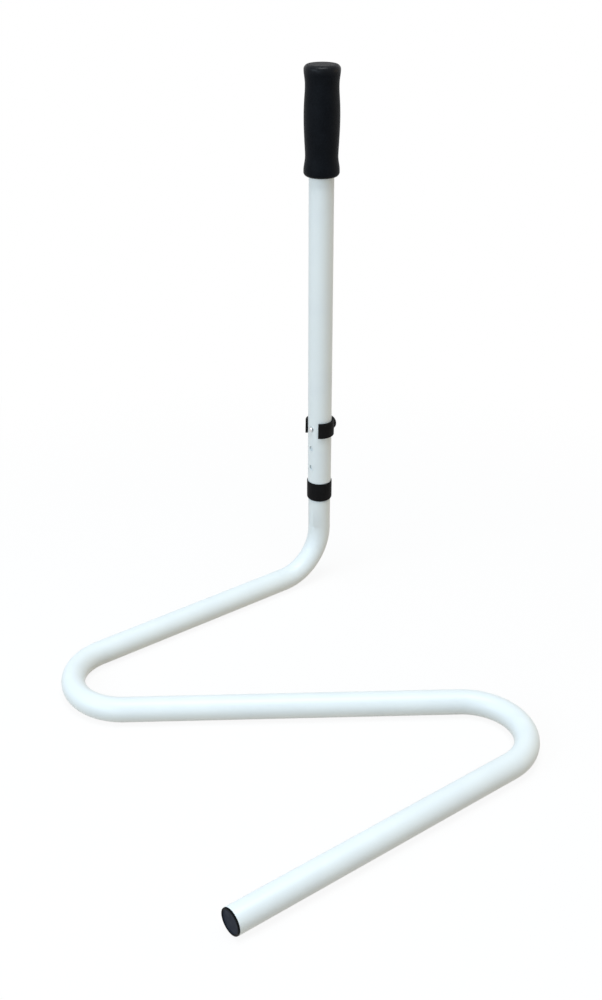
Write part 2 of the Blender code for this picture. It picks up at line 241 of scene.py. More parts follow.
# Name, azimuth (0 in front, positive to the right), elevation, watts, colour
LAMPS = (
    ("top", radians(0), radians(85), 41.0, (0.90, 0.95, 0.98)),
    ("key_left", radians(-60), radians(30), 20.5, (0.75, 0.88, 1.0)),
    ("low_left", radians(-30), radians(8), 10.5, (0.66, 0.83, 1.0)),
    ("warm_right", radians(95), radians(12), 4.5, (1.0, 0.72, 0.30)),
)
# Sensor and lens are in millimetres
CAMERA_SENSOR = 36.0
CAMERA_LENS = 46.95
CAMERA_REACH = 50.0
CAMERA_PITCH = radians(26.99)
CAMERA_YAW = radians(2.23)
CAMERA_FROM_POLE = (-0.0740, -1.3540, 0.7908)


class Value:
    """A socket in Python arithmetic: each operator adds its Math node."""

    def __init__(self, graph, socket):
        self.graph = graph
        self.socket = socket

    def math(self, operation, *values):
        return self.graph.node("ShaderNodeMath", dict(enumerate(values)), operation=operation)

    def __add__(self, other):
        return self.math("ADD", self, other)

    def __sub__(self, other):
        return self.math("SUBTRACT", self, other)

    def __mul__(self, other):
        return self.math("MULTIPLY", self, other)

    def __neg__(self):
        return self.math("MULTIPLY", self, -1.0)

    def at_least(self, other):
        return self.math("MAXIMUM", self, other)

    def other(self, name):
        """Another output of the same node."""
        return Value(self.graph, self.socket.node.outputs[name])

    __radd__ = __add__
    __rmul__ = __mul__


class Graph:
    """A shader or geometry tree in the making."""

    def __init__(self, tree):
        self.tree = tree
        self.tree.nodes.clear()

    def node(self, kind, sockets=None, output=0, **settings):
        """Add a node: first its settings, then the values or links of its sockets."""
        made = self.tree.nodes.new(kind)
        for name, value in settings.items():
            setattr(made, name, value)
        for key, value in (sockets or {}).items():
            if isinstance(value, Value):
                self.tree.links.new(value.socket, made.inputs[key])
            else:
                made.inputs[key].default_value = value
        return Value(self, made.outputs[output]) if made.outputs else None

    def vector(self, operation, *values, output=0):
        """Vector arithmetic."""
        return self.node("ShaderNodeVectorMath", dict(enumerate(values)), output, operation=operation)

    def scaled(self, vector, share):
        """A vector times a number."""
        return self.node("ShaderNodeVectorMath", {"Vector": vector, "Scale": share}, operation="SCALE")

    def blend(self, share, first, second):
        """A colour between two colours."""
        sides = {0: share, 6: self.colour(first), 7: self.colour(second)}
        return self.node("ShaderNodeMix", sides, output=2, data_type="RGBA")

    def noise(self, place, scale, detail=2.0, roughness=0.5):
        """Lumps from 0 to 1."""
        sockets = {"Vector": place, "Scale": scale, "Detail": detail, "Roughness": roughness}
        return self.node("ShaderNodeTexNoise", sockets)

    def ramp(self, value, low, high):
        """0 below low, 1 over high and eased between them."""
        sockets = {"Value": value, "From Min": low, "From Max": high}
        return self.node("ShaderNodeMapRange", sockets, interpolation_type="SMOOTHSTEP")

    def relief(self, height, depth):
        """Normal of a surface whose height, from 0 to 1, stands for a depth in metres."""
        return self.node("ShaderNodeBump", {"Height": height, "Distance": depth, "Strength": 1.0})

    def place(self):
        """Where a point of the surface lies, in the piece's own frame."""
        return self.node("ShaderNodeTexCoord", output="Object")

    @staticmethod
    def colour(value):
        """A colour socket's link, or its value with the opacity that it needs."""
        return value if isinstance(value, Value) else (*value, 1.0)


def finish(name, paint, **constants):
    """A material whose shader has constant values, and the sockets that paint returns."""
    material = bpy.data.materials.new(name)
    material.use_nodes = True
    graph = Graph(material.node_tree)
    sockets = {socket_name(key): value for key, value in constants.items()}
    sockets.update(paint(graph, graph.place()))
    shader = graph.node("ShaderNodeBsdfPrincipled", sockets)
    graph.node("ShaderNodeOutputMaterial", {"Surface": shader})
    return material


def socket_name(key):
    """Name of the socket that a keyword such as specular_ior_level stands for."""
    return key.replace("_", " ").title().replace("Ior", "IOR")


def powder_coat(graph, place):
    """White powder coat: soft orange peel, fine grain and faint clouds of shade."""
    peel = graph.noise(place, COAT_PEEL_SCALE, detail=1.5)
    grain = graph.noise(place, COAT_GRAIN_SCALE)
    cloud = graph.noise(place, COAT_CLOUD_SCALE, detail=3.0)
    paleness = graph.ramp(cloud * 0.7 + grain * 0.3, 0.3, 0.7)
    return {
        "Base Color": graph.blend(paleness, COAT_SHADE, COAT_WHITE),
        "Roughness": COAT_ROUGHNESS + grain * 0.08 + cloud * 0.05,
        "Normal": graph.relief(peel * 0.75 + grain * 0.25, COAT_RELIEF),
    }


def moulded(dark, pale, roughness):
    """Moulded plastic: spark-eroded grain, with rubbed places that are paler and smoother."""

    def paint(graph, place):
        grain = graph.noise(place, MOULD_GRAIN_SCALE, detail=3.0, roughness=0.6)
        rubbed = graph.ramp(graph.noise(place, MOULD_RUB_SCALE, detail=3.0), 0.45, 0.75)
        return {
            "Base Color": graph.blend(rubbed * 0.6 + grain * 0.4, dark, pale),
            "Roughness": roughness + grain * 0.14 - rubbed * 0.08,
            "Normal": graph.relief(grain, MOULD_RELIEF),
        }

    return paint


def dished_cap(middle):
    """The moulded plastic of a plug. The rim round the middle of its dished face is smoother and darkened
    with painted shade.
    """
    skin = moulded(SLATE_DARK, SLATE_PALE, SLATE_ROUGHNESS)
    dish_r = tube_r - PLUG_FLANGE_INSET - PLUG_RIM

    def paint(graph, place):
        sockets = skin(graph, place)
        distance = graph.vector("DISTANCE", place, tuple(middle), output="Value")
        # Painted shade: the rim round the dish is darkened in colour. Its roughness is also lowered.
        rim = graph.ramp(distance, dish_r - PLUG_DISH, dish_r + PLUG_DISH / 2)
        sockets["Base Color"] = graph.blend(rim, sockets["Base Color"], SLATE_RIM_PAINTED_SHADE)
        sockets["Roughness"] = sockets["Roughness"] - rim * 0.10
        return sockets

    return paint


def closed_cell_foam(graph, place):
    """Foam skin: cells that show as fine pits, a dusty bloom, and a top edge polished by hands."""
    cells = graph.node("ShaderNodeTexVoronoi", {"Vector": place, "Scale": FOAM_CELL_SCALE})
    pores = graph.noise(place, FOAM_PORE_SCALE, detail=3.0, roughness=0.6)
    bloom = graph.noise(place, FOAM_BLOOM_SCALE, detail=3.0)
    greyness = graph.ramp(pores * 0.6 + bloom * 0.4, 0.35, 0.65)
    height = graph.node("ShaderNodeSeparateXYZ", {"Vector": place}, output="Z")
    top = grip_high.z
    rising = graph.ramp(height, top - 2 * GRIP_TOP_ROUND, top - GRIP_TOP_ROUND / 2)
    polished = rising * graph.ramp(height, top, top - GRIP_TOP_ROUND / 4)
    return {
        "Base Color": graph.blend(greyness, FOAM_BLACK, FOAM_GREY),
        "Roughness": FOAM_ROUGHNESS + pores * 0.16 - polished * 0.12,
        "Coat Weight": polished * FOAM_POLISH,
        "Normal": graph.relief(cells * 0.5 + pores * 0.5, FOAM_RELIEF),
    }


def plated_steel(graph, place):
    """Bright plating over turning marks."""
    marks = graph.noise(graph.vector("MULTIPLY", place, STEEL_MARK_SCALES), 1.0)
    stain = graph.noise(place, STEEL_STAIN_SCALE)
    return {
        "Base Color": graph.blend(stain, STEEL_DARK, STEEL_PALE),
        "Roughness": STEEL_ROUGHNESS + marks * 0.12,
        "Normal": graph.relief(marks, STEEL_RELIEF),
    }


def new_object(name, bm, matrix=None, closed=True):
    """A bmesh as an object at the origin, its place in its mesh. A closed one's faces are turned out."""
    if closed:
        bmesh.ops.recalc_face_normals(bm, faces=bm.faces)
    mesh = bpy.data.meshes.new(name)
    bm.to_mesh(mesh)
    bm.free()
    if matrix is not None:
        mesh.transform(matrix)
    made = bpy.data.objects.new(name, mesh)
    bpy.context.scene.collection.objects.link(made)
    return made


def baked(thing):
    """Make what the modifiers show the object's plain mesh."""
    bpy.context.view_layer.update()
    evaluated = thing.evaluated_get(bpy.context.evaluated_depsgraph_get())
    mesh = bpy.data.meshes.new_from_object(evaluated)
    thing.modifiers.clear()
    thing.data = mesh
    return thing


def faced_out(thing):
    """Merge doubles and turn every face out."""
    bm = bmesh.new()
    bm.from_mesh(thing.data)
    bmesh.ops.remove_doubles(bm, verts=bm.verts, dist=MERGED_WITHIN)
    bmesh.ops.recalc_face_normals(bm, faces=bm.faces)
    bm.to_mesh(thing.data)
    bm.free()
    return thing


def smoothed(thing):
    """Clean away the slivers that cuts leave, then shade smooth between sharp edges."""
    bm = bmesh.new()
    bm.from_mesh(thing.data)
    bmesh.ops.remove_doubles(bm, verts=bm.verts, dist=MERGED_WITHIN)
    bmesh.ops.dissolve_degenerate(bm, edges=bm.edges, dist=MERGED_WITHIN)
    bm.to_mesh(thing.data)
    bm.free()
    thing.data.shade_smooth()
    thing.data.set_sharp_from_angle(angle=CREASE_TURN)
    return thing


def rounded_edges(thing, width, segments, limit):
    """A bevel on the edges that are corners, or on those that carry a weight."""
    modifier = thing.modifiers.new("rounded_edges", "BEVEL")
    modifier.width = width
    modifier.segments = segments
    modifier.limit_method = limit
    modifier.angle_limit = CORNER_TURN


def grow(thing, tree, **values):
    """Run a geometry tree on an object. Input "Top Hole" is given as top_hole."""
    modifier = thing.modifiers.new(tree.name, "NODES")
    modifier.node_group = tree
    for item in tree.interface.items_tree:
        key = item.name.lower().replace(" ", "_")
        if item.in_out == "INPUT" and key in values:
            modifier[item.identifier] = values[key]
    return baked(thing)


def combine(thing, operation, other):
    """Join another object to this one, or cut it out, and remove the other."""
    modifier = thing.modifiers.new("combine", "BOOLEAN")
    modifier.operation = operation
    modifier.object = other
    baked(thing)
    bpy.data.objects.remove(other)


def dress(piece, material, node, body):
    """Finish a piece that stands for a CAD node and rides on its body."""
    piece.data.materials.clear()
    piece.data.materials.append(material)
    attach(piece, body)
    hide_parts(node)


def geometry_tree(name, inputs):
    """A geometry tree with a Geometry input, named inputs for its sizes and a Geometry output."""
    tree = bpy.data.node_groups.new(name, "GeometryNodeTree")
    tree.interface.new_socket("Geometry", in_out="INPUT", socket_type="NodeSocketGeometry")
    for label, kind in inputs.items():
        tree.interface.new_socket(label, in_out="INPUT", socket_type="NodeSocket" + kind)
    tree.interface.new_socket("Geometry", in_out="OUTPUT", socket_type="NodeSocketGeometry")
    graph = Graph(tree)
    return graph, graph.node("NodeGroupInput")


def finish_tree(graph, geometry, material):
    """End a tree as plain geometry in its material."""
    plain = graph.node("GeometryNodeRealizeInstances", {"Geometry": geometry})
    dressed = graph.node("GeometryNodeSetMaterial", {"Geometry": plain, "Material": material})
    graph.node("NodeGroupOutput", {"Geometry": dressed})
    return graph.tree


def attribute(graph, name, kind):
    """An attribute that the mesh carries."""
    return graph.node("GeometryNodeInputNamedAttribute", {"Name": name}, data_type=kind)


def circle(graph, sides, radius):
    """A circle, as a curve of straight sides."""
    return graph.node("GeometryNodeCurvePrimitiveCircle", {"Resolution": sides, "Radius": radius})


def row(graph, given, first, shape):
    """Sockets that put copies of a shape in a row along -Z, as many and as far apart as given."""
    step = graph.node("ShaderNodeCombineXYZ", {"Z": -given.other("Pitch")})
    line = {"Count": given.other("Count"), "Start Location": given.other(first), "Offset": step}
    return {"Points": graph.node("GeometryNodeMeshLine", line), "Instance": shape}


def bent_tube_tree():
    """Sweep a round section along a route of edges, squeezed as the route's attributes say."""
    graph, given = geometry_tree("bent_tube", {"Sides": "Int", "Finish": "Material"})
    position = graph.node("GeometryNodeInputPosition")
    route = graph.node("GeometryNodeMeshToCurve", {"Mesh": given})
    marked = graph.node(
        "GeometryNodeStoreNamedAttribute",
        {"Geometry": route, "Name": "axis_point", "Value": position},
        data_type="FLOAT_VECTOR",
    )
    section = circle(graph, given.other("Sides"), 1.0)
    girth = attribute(graph, "girth", "FLOAT")
    sweep = {"Curve": marked, "Profile Curve": section, "Scale": girth}
    swept = graph.node("GeometryNodeCurveToMesh", sweep)
    spoke = graph.vector("SUBTRACT", position, attribute(graph, "axis_point", "FLOAT_VECTOR"))
    shift = (0.0, 0.0, 0.0)
    for label in ("flattened", "pressed"):
        squeeze = attribute(graph, label, "FLOAT_VECTOR")
        direction = graph.vector("NORMALIZE", squeeze)
        share = graph.vector("LENGTH", squeeze, output="Value")
        reach = graph.vector("DOT_PRODUCT", spoke, direction, output="Value").at_least(0.0)
        shift = graph.vector("SUBTRACT", shift, graph.scaled(direction, reach * share))
    squeezed = graph.node("GeometryNodeSetPosition", {"Geometry": swept, "Offset": shift})
    for label in ("axis_point", "girth", "flattened", "pressed"):
        squeezed = graph.node("GeometryNodeRemoveAttribute", {"Geometry": squeezed, "Name": label})
    return finish_tree(graph, squeezed, given.other("Finish"))


def cross_holes_tree():
    """Drill a row of holes right through a tube, from the top hole down."""
    sizes = {
        "Count": "Int",
        "Pitch": "Float",
        "Top Hole": "Vector",
        "Drill Turn": "Rotation",
        "Hole Radius": "Float",
        "Reach": "Float",
        "Sides": "Int",
        "Finish": "Material",
    }
    graph, given = geometry_tree("cross_holes", sizes)
    bit = {
        "Vertices": given.other("Sides"),
        "Radius": given.other("Hole Radius"),
        "Depth": given.other("Reach") * 2,
    }
    bits = row(graph, given, "Top Hole", graph.node("GeometryNodeMeshCylinder", bit))
    bits["Rotation"] = given.other("Drill Turn")
    drills = graph.node("GeometryNodeInstanceOnPoints", bits)
    cutters = graph.node("GeometryNodeRealizeInstances", {"Geometry": drills})
    sides = {"Mesh 1": given, "Mesh 2": cutters}
    drilled = graph.node("GeometryNodeMeshBoolean", sides, operation="DIFFERENCE", solver="EXACT")
    return finish_tree(graph, drilled, given.other("Finish"))


def shank_ribs_tree():
    """Join a row of ribs, turned rings with a pointed crest, to a plug's shank along Z."""
    sizes = {
        "Count": "Int",
        "Pitch": "Float",
        "First Rib": "Vector",
        "Root Radius": "Float",
        "Rib Height": "Float",
        "Sides": "Int",
        "Finish": "Material",
    }
    graph, given = geometry_tree("shank_ribs", sizes)
    ring = circle(graph, given.other("Sides"), given.other("Root Radius"))
    crest = circle(graph, PLUG_RIB_SIDES, given.other("Rib Height"))
    rib = graph.node("GeometryNodeCurveToMesh", {"Curve": ring, "Profile Curve": crest})
    copies = graph.node("GeometryNodeInstanceOnPoints", row(graph, given, "First Rib", rib))
    ribs = graph.node("GeometryNodeRealizeInstances", {"Geometry": copies})
    joined = graph.node("GeometryNodeMeshBoolean", {"Mesh 2": given}, operation="UNION", solver="EXACT")
    graph.tree.links.new(ribs.socket, joined.socket.node.inputs["Mesh 2"])
    return finish_tree(graph, joined, given.other("Finish"))


class Route:
    """The tube's axis as a line of edges, each point with its section and how that is squeezed."""

    def __init__(self):
        self.places = []
        self.girths = []
        self.flattened = []
        self.pressed = []

    def add(self, place, girth=tube_r, flattened=(0, 0, 0), pressed=(0, 0, 0)):
        """Add a point. A squeeze points to the side that gives, as long as the share that it gives by."""
        self.places.append(Vector(place))
        self.girths.append(girth)
        self.flattened.append(Vector(flattened))
        self.pressed.append(Vector(pressed))

    def bend(self, before, corner, after, bend_r):
        """Round a corner. The outer side is drawn in towards the axis, most at mid-bend."""
        forward = (corner - before).normalized()
        leaving = (after - corner).normalized()
        turn = forward.angle(leaving)
        inward = (leaving - forward * forward.dot(leaving)).normalized()
        centre = corner - forward * bend_r * tan(turn / 2) + inward * bend_r
        steps = ceil(turn / BEND_STEP)
        for step in range(steps + 1):
            share = step / steps
            outward = forward * sin(turn * share) - inward * cos(turn * share)
            squeeze = BEND_FLATTENING * sin(pi * share)
            self.add(centre + outward * bend_r, flattened=outward * squeeze)

    def mesh(self, name):
        """The line of edges, with its sections and squeezes as attributes."""
        made = bpy.data.meshes.new(name)
        made.from_pydata(self.places, [(k, k + 1) for k in range(len(self.places) - 1)], [])
        girth = made.attributes.new("girth", "FLOAT", "POINT")
        girth.data.foreach_set("value", self.girths)
        for label, vectors in (("flattened", self.flattened), ("pressed", self.pressed)):
            squeezes = made.attributes.new(label, "FLOAT_VECTOR", "POINT")
            squeezes.data.foreach_set("vector", [number for vector in vectors for number in vector])
        return made


def base_corners():
    """Foot of the upright, left corner, right corner and free end of the tube's axis."""
    foot = pole_axis + Vector((0, 0, tube_r))
    left = foot - FOOT_LEG * Vector((cos(LEFT_CORNER_ANGLE), sin(LEFT_CORNER_ANGLE), 0))
    right = left + Vector((CROSS_LEG, 0, 0))
    end = right - END_LEG * Vector((cos(RIGHT_CORNER_ANGLE), sin(RIGHT_CORNER_ANGLE), 0))
    return foot, left, right, end


def base_route():
    """From the top of the spigot down the upright, round the Z and out to the free end."""
    foot, left, right, end = base_corners()
    top = pole_axis + Vector((0, 0, spigot_top))
    inner_side = (left - foot).normalized()
    clamp_mark = inner_side * CLAMP_MARK_DEPTH / tube_r
    unpressed = Vector((0, 0, 0))
    upright = (
        (spigot_top, spigot_r - SPIGOT_CHAMFER, unpressed),
        (spigot_top - SPIGOT_CHAMFER, spigot_r, unpressed),
        (spigot_foot, spigot_r, unpressed),
        (spigot_foot - SHOULDER_LENGTH, tube_r, unpressed),
        (CLAMP_MARK_HEIGHT + CLAMP_MARK_STEP, tube_r, unpressed),
        (CLAMP_MARK_HEIGHT, tube_r, clamp_mark),
    )
    route = Route()
    for height, girth, pressed in upright:
        route.add(pole_axis + Vector((0, 0, height)), girth, pressed=pressed)
    route.bend(top, foot, left, UPRIGHT_BEND_R)
    route.bend(foot, left, right, CORNER_BEND_R)
    route.bend(left, right, end, CORNER_BEND_R)
    route.add(end)
    return route


def drill(tube, holes, count, coat):
    """Cross holes at the pin's height and below it, in line with the pin."""
    grow(
        tube,
        holes,
        count=count,
        pitch=HOLE_PITCH,
        top_hole=(pole_axis.x, pole_axis.y, pin_height),
        drill_turn=Euler((0, pi / 2, pin_turn)),
        hole_radius=hole_r,
        reach=pole_r * DRILL_REACH,
        sides=SMALL_SIDES,
        finish=coat,
    )


def base_tube(coat, holes):
    """The bent tube with its wall, its rounded ends and the hole for the pin in its spigot."""
    tube = bpy.data.objects.new("base_tube", base_route().mesh("base_tube"))
    bpy.context.scene.collection.objects.link(tube)
    faced_out(grow(tube, bent_tube_tree(), sides=TUBE_SIDES, finish=coat))
    wall = tube.modifiers.new("wall", "SOLIDIFY")
    wall.thickness = TUBE_WALL
    wall.offset = -1
    rounded_edges(tube, TUBE_EDGE_ROUND, TUBE_EDGE_SEGMENTS, "ANGLE")
    baked(tube)
    drill(tube, holes, 1, coat)
    dress(smoothed(tube), coat, "base_frame", "base")


def arc(centre, radius, start, end, steps=ROUND_STEPS):
    """Points of an arc in a profile's (radius, height) plane."""
    turns = [start + (end - start) * step / steps for step in range(steps + 1)]
    return [(centre[0] + radius * cos(turn), centre[1] + radius * sin(turn)) for turn in turns]


def turned(name, profile, matrix=None, sides=TURNED_SIDES):
    """Spin a closed (radius, height) profile round Z and put it in place."""
    bm = bmesh.new()
    corners = [bm.verts.new((radius, 0, height)) for radius, height in profile]
    edges = [bm.edges.new(pair) for pair in zip(corners, corners[1:] + corners[:1])]
    bmesh.ops.spin(
        bm,
        geom=corners + edges,
        cent=(0, 0, 0),
        axis=(0, 0, 1),
        angle=2 * pi,
        steps=sides,
        use_merge=True,
    )
    bmesh.ops.remove_doubles(bm, verts=bm.verts, dist=MERGED_WITHIN)
    loose = [edge for edge in bm.edges if not edge.link_faces]
    bmesh.ops.delete(bm, geom=loose, context="EDGES")
    return new_object(name, bm, matrix)


def pole_tube(coat, holes):
    """The pole, with a ring of edges to each side of a hole so that its shading stays even."""
    rim = POLE_WALL / 4
    middle = pole_r - POLE_WALL / 2
    low, high = pole_low.z, pole_high.z
    heights = [low + rim]
    for k in reversed(range(HOLE_COUNT)):
        hole = pin_height - HOLE_PITCH * k
        heights += [hole - 2 * hole_r, hole + 2 * hole_r]
    heights += [high - rim]
    outer = [(pole_r, height) for height in heights]
    inner = [(pole_bore_r, height) for height in reversed(heights)]
    profile = [(middle, low)] + outer + [(middle, high)] + inner
    tube = turned("pole_tube", profile, Matrix.Translation(pole_axis))
    drill(tube, holes, HOLE_COUNT, coat)
    dress(smoothed(tube), coat, "upper_tube", "pole")


def end_plug(name, end_r, bore_r, matrix, ribs, plastic):
    """A flange with a dished face and a rounded rim, on a hollow shank with ribs that grip the bore."""
    flange_r = end_r - PLUG_FLANGE_INSET
    dish_r = flange_r - PLUG_RIM
    root_r = bore_r - CLEARANCE - PLUG_RIB_HEIGHT
    hollow_r = root_r - PLUG_SHANK_WALL
    top = PLUG_FLANGE
    edge = PLUG_FLANGE_ROUND
    face = top - PLUG_DISH
    ceiling = face - PLUG_SHANK_WALL
    floor_r = dish_r - 2 * PLUG_DISH
    profile = [(0, face), (floor_r, face)]
    profile += arc((floor_r, face + PLUG_DISH), PLUG_DISH, -pi / 2, -PLUG_DISH_SLOPE)
    profile += arc((dish_r + edge, top - edge), edge, pi - PLUG_DISH_SLOPE, pi / 2)
    profile += arc((flange_r - edge, top - edge), edge, pi / 2, 0)
    profile += [(flange_r, 0), (root_r, 0), (root_r, -PLUG_SHANK), (hollow_r, -PLUG_SHANK)]
    profile += [(hollow_r, ceiling), (0, ceiling)]
    plug = turned(name, profile)
    pitch = PLUG_SHANK / PLUG_RIB_COUNT
    grow(
        plug,
        ribs,
        count=PLUG_RIB_COUNT,
        pitch=pitch,
        first_rib=(0, 0, -pitch / 2),
        root_radius=root_r,
        rib_height=PLUG_RIB_HEIGHT,
        sides=TURNED_SIDES,
        finish=plastic,
    )
    plug.data.transform(matrix)
    return smoothed(plug)


def base_end_cap(ribs):
    """The slate plug in the free end of the base."""
    *_, right, end = base_corners()
    direction = (end - right).normalized()
    facing = direction.to_track_quat("Z", "Y").to_matrix().to_4x4()
    foot = end + direction * CLEARANCE
    face = foot + direction * PLUG_FLANGE
    slate = finish("slate_plastic", dished_cap(face), specular_ior_level=MOULD_SPECULAR)
    place = Matrix.Translation(foot) @ facing
    cap = end_plug("base_end_cap", tube_r, tube_r - TUBE_WALL, place, ribs, slate)
    dress(cap, slate, "base_end_plug", "base")


def pole_top_cap(ribs, plastic):
    """The plug in the top of the pole, under the foam's closed end."""
    place = Matrix.Translation(pole_axis + Vector((0, 0, top_plug_high.z - PLUG_FLANGE)))
    cap = end_plug("pole_top_cap", pole_r, pole_bore_r, place, ribs, plastic)
    dress(cap, plastic, "upper_tube_plug", "pole")


def ferrule(plastic):
    """A sleeve over the pole's lower end, with a lip under the tube's edge that guides the spigot."""
    guide = spigot_r + CLEARANCE
    bore = pole_r + CLEARANCE
    outer = (ferrule_high.x - ferrule_low.x) / 2
    length = ferrule_high.z - ferrule_low.z
    mouth = FERRULE_MOUTH_ROUND
    foot = FERRULE_FOOT_ROUND
    foot_turn = acos(max(0, guide + mouth - outer + foot) / foot)
    top = (outer - bore) / 2
    profile = arc((guide + mouth, mouth), mouth, pi, pi * 3 / 2)
    profile += arc((outer - foot, foot * sin(foot_turn)), foot, -foot_turn, 0)
    profile += [(outer, length - FERRULE_TOP_TAPER)]
    profile += arc((bore + top, length - top), top, pi / 4, pi)
    profile += [(bore, FERRULE_LIP), (guide, FERRULE_LIP)]
    ring = turned("ferrule", profile, Matrix.Translation(pole_axis + Vector((0, 0, ferrule_low.z))))
    dress(smoothed(ring), plastic, "tube_collar", "pole")


def grip_radius(share):
    """Radius of the grip at a share of its height, eased between its crests and waists."""
    fit = (grip_high.x - grip_low.x) / max(diameter for _, diameter, _ in GRIP_STOPS)
    for pair in zip(GRIP_STOPS, GRIP_STOPS[1:]):
        if pair[0][0] <= share <= pair[1][0]:
            (waist, waist_d, _), (crest, crest_d, power) = sorted(pair, key=lambda stop: stop[1])
            rise = ((share - waist) / (crest - waist)) ** power
            return (waist_d + (crest_d - waist_d) * (1 - cos(pi * rise)) / 2) / 2 * fit
    nearest = GRIP_STOPS[0] if share < GRIP_STOPS[0][0] else GRIP_STOPS[-1]
    return nearest[1] / 2 * fit


def foam_grip(foam):
    """Closed-end foam tube: rounded foot and top, crests and waists, and a slightly uneven skin."""
    length = grip_high.z - grip_low.z
    bore = pole_r + CLEARANCE
    mouth = GRIP_MOUTH_ROUND
    foot, top = GRIP_FOOT_ROUND, GRIP_TOP_ROUND
    profile = arc((bore + mouth, mouth), mouth, pi, pi * 3 / 2)
    profile += arc((grip_radius(0) - foot, foot), foot, -pi / 2, 0, 2 * ROUND_STEPS)
    rings = ceil((length - foot - top) / GRIP_RING_PITCH)
    for ring in range(1, rings):
        height = foot + (length - foot - top) * ring / rings
        profile.append((grip_radius(height / length), height))
    profile += arc((grip_radius(1) - top, length - top), top, 0, pi / 2, 2 * ROUND_STEPS)
    flat_r = grip_radius(1) - top
    flat_rings = ceil(flat_r / GRIP_RING_PITCH)
    profile += [(flat_r * (1 - k / flat_rings), length) for k in range(1, flat_rings + 1)]
    profile += [(0, length - GRIP_FOAM_END), (bore, length - GRIP_FOAM_END)]
    grip = turned("foam_grip", profile, Matrix.Translation(pole_axis + Vector((0, 0, grip_low.z))))
    for vertex in grip.data.vertices:
        swell = noise.noise(vertex.co * FOAM_SWELL_SCALE)
        ripple = noise.noise(vertex.co * FOAM_RIPPLE_SCALE)
        wave = 0.7 * swell + 0.3 * ripple
        vertex.co -= vertex.normal * FOAM_SKIN_WAVE * (1 + wave) / 2
    dress(smoothed(grip), foam, "hand_grip", "pole")


def is_corner(edge):
    """True where two faces meet at a corner."""
    return edge.calc_face_angle(0) > CORNER_TURN


def is_radial(edge):
    """True for an edge that runs through the band's wall, square to the pole."""
    along = (edge.verts[1].co - edge.verts[0].co).normalized()
    outwards = edge.verts[0].co.normalized()
    return abs(along.z) < SQUARE_BELOW and abs(along.dot(outwards)) > ALIKE_ABOVE


def clip_band():
    """The C-shaped band with its arms' corners rounded. Its edges carry how round they become."""
    inner = pole_r + CLIP_GAP
    outer = inner + CLIP_WALL
    half = (clip_high.z - clip_low.z) / 2
    sweep = 2 * pi - CLIP_FAR_ARM_ANGLE - CLIP_NEAR_ARM_ANGLE
    bm = bmesh.new()
    first = Matrix.Rotation(pi + CLIP_FAR_ARM_ANGLE, 3, "Z")
    section = ((inner, -half), (outer, -half), (outer, half), (inner, half))
    corners = [bm.verts.new(first @ Vector((radius, 0, height))) for radius, height in section]
    face = bm.faces.new(corners)
    bmesh.ops.spin(
        bm,
        geom=[face, *face.edges, *face.verts],
        cent=(0, 0, 0),
        axis=(0, 0, 1),
        angle=sweep,
        steps=ceil(sweep / CLIP_STEP),
    )
    bmesh.ops.remove_doubles(bm, verts=bm.verts, dist=MERGED_WITHIN)
    bmesh.ops.recalc_face_normals(bm, faces=bm.faces)
    bmesh.ops.bevel(
        bm,
        geom=[edge for edge in bm.edges if is_radial(edge) and is_corner(edge)],
        offset=CLIP_CORNER_ROUND,
        segments=CLIP_EDGE_SEGMENTS,
        profile=0.5,
        affect="EDGES",
    )
    weights = bm.edges.layers.float.new("bevel_weight_edge")
    for edge in filter(is_corner, bm.edges):
        outside = min(end.co.xy.length for end in edge.verts) > outer - CLIP_WALL / 2
        edge[weights] = 1.0 if outside else CLIP_EDGE_ROUND / CLIP_OUTER_ROUND
    return new_object("pin_clip", bm)


def boss():
    """Round stub along +X. It flares where it meets the band, whose curve its foot follows."""
    radius = BOSS_D / 2
    band_r = pole_r + CLIP_GAP + CLIP_WALL
    seat = band_r - BOSS_SUNK
    root = band_r - CLIP_WALL / 2
    profile = [(0, root), (radius + BOSS_FILLET, root)]
    profile += arc((radius + BOSS_FILLET, seat + BOSS_FILLET), BOSS_FILLET, pi * 3 / 2, pi)
    profile += arc((radius - BOSS_ROUND, BOSS_REACH - BOSS_ROUND), BOSS_ROUND, 0, pi / 2)
    profile += [(0, BOSS_REACH)]
    stub = turned("boss", profile, Matrix.Rotation(pi / 2, 4, "Y"), BOSS_SIDES)
    for vertex in stub.data.vertices:
        if vertex.co.x <= seat + BOSS_FILLET:
            vertex.co.x -= band_r - sqrt(band_r**2 - vertex.co.y**2)
    return stub


def pin_place():
    """Where the pin crosses the pole's axis, with +X towards the boss."""
    return Matrix.Translation(pole_axis + Vector((0, 0, pin_height))) @ Matrix.Rotation(pin_turn, 4, "Z")


def pin_clip(plastic):
    """Band and boss. The clip hangs on its pin, so it sits a little low and turned round it."""
    clip = clip_band()
    rounded_edges(clip, CLIP_OUTER_ROUND, CLIP_EDGE_SEGMENTS, "WEIGHT")
    baked(clip)
    combine(clip, "UNION", boss())
    depth = BOSS_REACH - BOSS_END_WALL
    profile = [(0, 0), (hole_r, 0), (hole_r, depth), (0, depth)]
    combine(clip, "DIFFERENCE", turned("bore", profile, Matrix.Rotation(pi / 2, 4, "Y"), SMALL_SIDES))
    hanging = Matrix.Translation((0, 0, -CLIP_DROP)) @ Matrix.Rotation(CLIP_TILT, 4, "X")
    clip.data.transform(pin_place() @ hanging)
    dress(smoothed(clip), plastic, "lock_clip", "lock")


